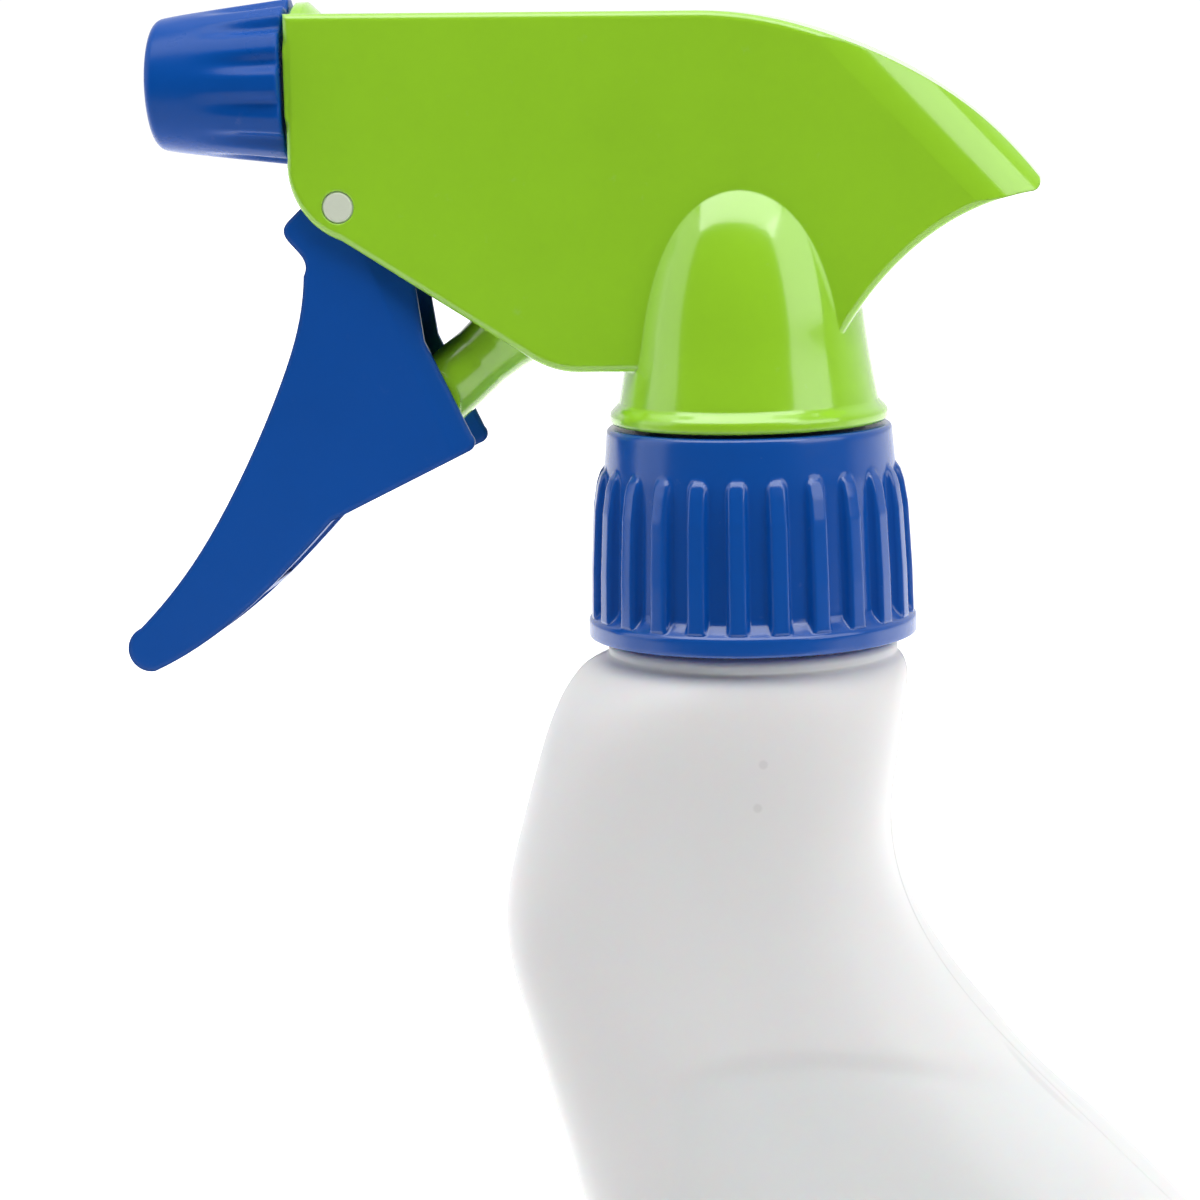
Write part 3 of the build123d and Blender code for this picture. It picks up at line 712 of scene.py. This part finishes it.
def make_nozzle():
    columns = FLUTES * 26
    angle = np.arange(columns) / columns * 2 * math.pi
    knob = rounded(NOZZLE_OUTSIDE, 1.7, 9)[1:-1]
    shape = spread(NOZZLE_SOCKET + knob + rounded(NOZZLE_FACE, 0.3, 4), 0.3)[:-1]
    radius = np.repeat(shape[:, :1], columns, axis=1)
    x = shape[:, 1:2]
    pitch = 2 * math.pi / FLUTES
    off = np.abs((angle % pitch) - pitch / 2)[None, :] * FLUTE_AT_R
    valley = 0.5 + 0.5 * np.cos(np.clip(off / FLUTE_HALF_WIDTH, 0, 1) * math.pi)
    depth = FLUTE_DEPTH * step(*FLUTE_FADES, x)
    outside = (radius > 6.0) & (x > -61.0) | (radius > 8.0)
    radius = np.where(outside, radius - depth * valley, radius)
    rows = np.repeat(x, columns, axis=1)
    grid = np.stack([rows, radius * np.sin(angle), SPRAY_Z + radius * np.cos(angle)], axis=-1)
    made = grid_object("nozzle_knob", grid, closed_rows=True)
    stands_for(made, "nozzle", "nozzle", "sprayer_blue")
    made.data.materials[0] = NOZZLE_BLUE


# ---- trigger web --------------------------------------------------------------------------------

# X and Z along the rear edge of the blade, from its tip up
BLADE_REAR = [
    (-62.6, -2.6),
    (-59.0, -0.7),
    (-55.0, 2.1),
    (-51.5, 5.1),
    (-48.3, 8.2),
    (-45.8, 10.8),
    (-43.7, 13.1),
]
WEB_Y = 5.15
WEB_FROM_EDGE = 0.03
WEB_INNER = 1.0


def make_blade_web():
    """The curved web that closes the back of the trigger's blade, between its two sides."""
    curve = cubic(range(len(BLADE_REAR)), BLADE_REAR)(np.linspace(0, len(BLADE_REAR) - 1, 90))
    along = np.gradient(curve, axis=0)
    along /= np.linalg.norm(along, axis=1, keepdims=True)
    inward = np.column_stack([-along[:, 1], along[:, 0]])
    corners = [
        (-WEB_Y, WEB_FROM_EDGE),
        (-WEB_Y, WEB_INNER),
        (WEB_Y, WEB_INNER),
        (WEB_Y, WEB_FROM_EDGE),
        (-WEB_Y, WEB_FROM_EDGE),
    ]
    ring = spread(rounded(corners, 0.3), 0.8)[:-1]
    rows = []
    for point, into in zip(curve, inward):
        flat = point + into * ring[:, 1:2]
        rows.append(np.column_stack([flat[:, 0], ring[:, 0], flat[:, 1]]))
    made = grid_object("blade_web", np.array(rows), closed_rows=False)
    made.data.materials.append(TRIGGER_BLUE)
    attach(made, "trigger")


# ---- springs ------------------------------------------------------------------------------------


RETURN_SPRING = {"radius": 3.05, "wire_r": 0.35, "length": 13.7, "turns": 6.5}
OUTLET_SPRING = {"radius": 1.75, "wire_r": 0.2, "length": 3.9, "turns": 5}


def coil_object(name, centre, axis, radius, wire_r, length, turns):
    """A coil spring with closed end turns, as a tube round a helix whose axis passes through centre."""
    axis = Vector(axis).normalized()
    side = axis.orthogonal().normalized()
    other = axis.cross(side)
    steps = 260
    rise_from, rise_to = wire_r, length - wire_r
    path = []
    for k in range(steps + 1):
        t = k / steps
        rise = rise_from + (rise_to - rise_from) * (0.75 * t + 0.25 * float(step(0.1, 0.9, t)))
        angle = 2 * math.pi * turns * t
        path.append((radius * math.cos(angle), radius * math.sin(angle), rise - length / 2))
    path = np.array(path)
    tangent = np.gradient(path, axis=0)
    tangent /= np.linalg.norm(tangent, axis=1, keepdims=True)
    outward = path * (1, 1, 0) / radius
    across = np.cross(tangent, outward)
    angle = (np.arange(12) / 12 * 2 * math.pi)[None, :, None]
    ring = np.cos(angle) * outward[:, None] + np.sin(angle) * across[:, None]
    local = path[:, None] + wire_r * ring
    grid = local @ np.array([side, other, axis]) + (np.array(centre) - NECK) * 1000
    return grid_object(name, grid, closed_rows=False)


def body_of(node):
    for body, members in frame["record"]["behaviour"]["bodies"].items():
        if node in members:
            return body
    return "base"


def make_spring(node, axis, size):
    """A coil in place of a spring node, on the same body as the node."""
    low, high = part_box(node)
    centre = (low + high) / 2
    made = coil_object(f"{node}_wire", centre, axis, **size)
    stands_for(made, node, body_of(node), "spring_steel")
    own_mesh(made)


make_bottle()
make_closure()
make_nozzle()
make_blade_web()
make_spring("return_spring", JOINTS["piston_stroke"]["axis"], RETURN_SPRING)
make_spring("outlet_spring", (1, 0, 0), OUTLET_SPRING)

# ---- CAD pieces that stay -----------------------------------------------------------------------

SLOT_OF_NODE = {entry["node"]: entry["material_slot"] for entry in frame["record"]["subparts"]}
for node_name, node in NODES.items():
    material = MATERIAL_OF_SLOT[SLOT_OF_NODE[node_name]]
    for holder in node.material_slots:
        holder.material = TRIGGER_BLUE if node_name == "trigger" else material

# ---- floor, light and camera --------------------------------------------------------------------

# In metres
FLOOR_FRONT = -0.5
FLOOR_REACH = 6.0
FLOOR_BELOW = 0.0002


def make_floor():
    mesh = bpy.data.meshes.new("studio_floor")
    work = bmesh.new()
    bmesh.ops.create_grid(work, x_segments=12, y_segments=12, size=1.0)
    for corner in work.verts:
        corner.co.x *= FLOOR_REACH
        corner.co.y = FLOOR_FRONT + (corner.co.y + 1) / 2 * (FLOOR_REACH - FLOOR_FRONT)
    work.to_mesh(mesh)
    work.free()
    floor = bpy.data.objects.new("studio_floor", mesh)
    floor.location = (0, 0, -FLOOR_BELOW)
    scene.collection.objects.link(floor)
    n = Nodes("studio_paper")
    mottle = n.remap(n.noise(3, 2.0), 0.3, 0.7, 0.0, 1.0)
    colour = n.blend(mottle, (0.90, 0.90, 0.90), (0.93, 0.93, 0.93))
    rough = n.remap(n.noise(8, 2.0), 0.3, 0.7, 0.75, 0.85)
    normal = n.bump(n.noise(600, 2.0), 0.05, 0.0002)
    material = n.finish(colour, rough, normal)
    split = n.add("ShaderNodeSeparateXYZ")
    n.join(n.place, split.inputs[0])
    # The paper glows white behind the object and is darker in front, where the flat sides mirror it
    glow = n.remap(split.outputs["Y"], 0.0, 0.28, 0.15, 1.15)
    for node in material.node_tree.nodes:
        if node.type == "BSDF_PRINCIPLED":
            node.inputs["Emission Color"].default_value = (1.0, 1.0, 1.0, 1.0)
            node.inputs["Specular IOR Level"].default_value = 0.0
            n.join(glow, node.inputs["Emission Strength"])
    mesh.materials.append(material)


def make_world():
    """Dim on the camera's side and white behind the object."""
    world = bpy.data.worlds.new("studio")
    scene.world = world
    world.use_nodes = True
    tree = world.node_tree
    tree.nodes.clear()
    place = tree.nodes.new("ShaderNodeTexCoord")
    split = tree.nodes.new("ShaderNodeSeparateXYZ")
    ramp = tree.nodes.new("ShaderNodeMapRange")
    for socket, number in {"From Min": -0.1, "From Max": 0.9, "To Min": 0.06, "To Max": 1.05}.items():
        ramp.inputs[socket].default_value = number
    back = tree.nodes.new("ShaderNodeBackground")
    out = tree.nodes.new("ShaderNodeOutputWorld")
    tree.links.new(place.outputs["Generated"], split.inputs[0])
    tree.links.new(split.outputs["Y"], ramp.inputs["Value"])
    tree.links.new(ramp.outputs["Result"], back.inputs["Color"])
    back.inputs["Strength"].default_value = 1.0
    tree.links.new(back.outputs[0], out.inputs[0])


AIM = part((-10, 0, 30))


def softbox(name, azimuth, elevation, distance, width, height, power):
    """An area light that faces the head. Azimuth is from the camera side, positive towards the tail."""
    a, e = math.radians(azimuth), math.radians(elevation)
    away = np.array([math.sin(a) * math.cos(e), -math.cos(a) * math.cos(e), math.sin(e)])
    light = bpy.data.lights.new(name, "AREA")
    light.shape = "RECTANGLE"
    light.size = width
    light.size_y = height
    light.energy = power
    holder = bpy.data.objects.new(name, light)
    turn = Vector(away).to_track_quat("Z", "Y").to_matrix().to_4x4()
    holder.matrix_world = Matrix.Translation(Vector(AIM + away * distance)) @ turn
    scene.collection.objects.link(holder)


CAMERA_AT = (34.268, -382.843, 63.484)
CAMERA_YAW = 7.5
CAMERA_PITCH = 8.847
CAMERA_ROLL = -1.451


def make_camera():
    """Almost side on: turned a little towards the tail and looking slightly down."""
    yaw, pitch, roll = (math.radians(a) for a in (CAMERA_YAW, CAMERA_PITCH, CAMERA_ROLL))
    level_right = Vector((math.cos(yaw), math.sin(yaw), 0.0))
    ahead = Vector((-math.sin(yaw), math.cos(yaw), 0.0))
    forward = ahead * math.cos(pitch) + Vector((0, 0, -math.sin(pitch)))
    level_up = level_right.cross(forward)
    right = level_right * math.cos(roll) + level_up * math.sin(roll)
    up = level_up * math.cos(roll) - level_right * math.sin(roll)
    data = bpy.data.cameras.new("camera")
    data.lens = 111.0
    data.sensor_width = 36.0
    data.clip_start = 0.01
    holder = bpy.data.objects.new("camera", data)
    turn = Matrix((right, up, -forward)).transposed().to_4x4()
    holder.matrix_world = Matrix.Translation(Vector(part(CAMERA_AT))) @ turn
    scene.collection.objects.link(holder)
    scene.camera = holder


make_floor()
make_world()
softbox("right_box", 66, 29, 0.9, 0.66, 0.70, 3.1)
softbox("left_box", -84, 22, 0.9, 0.70, 0.80, 1.9)
softbox("top_box", 180, 78, 1.0, 0.9, 0.6, 2.0)
softbox("front_fill", -8, 70, 1.1, 1.8, 0.7, 15.0)
make_camera()
scene.view_settings.view_transform = "Standard"
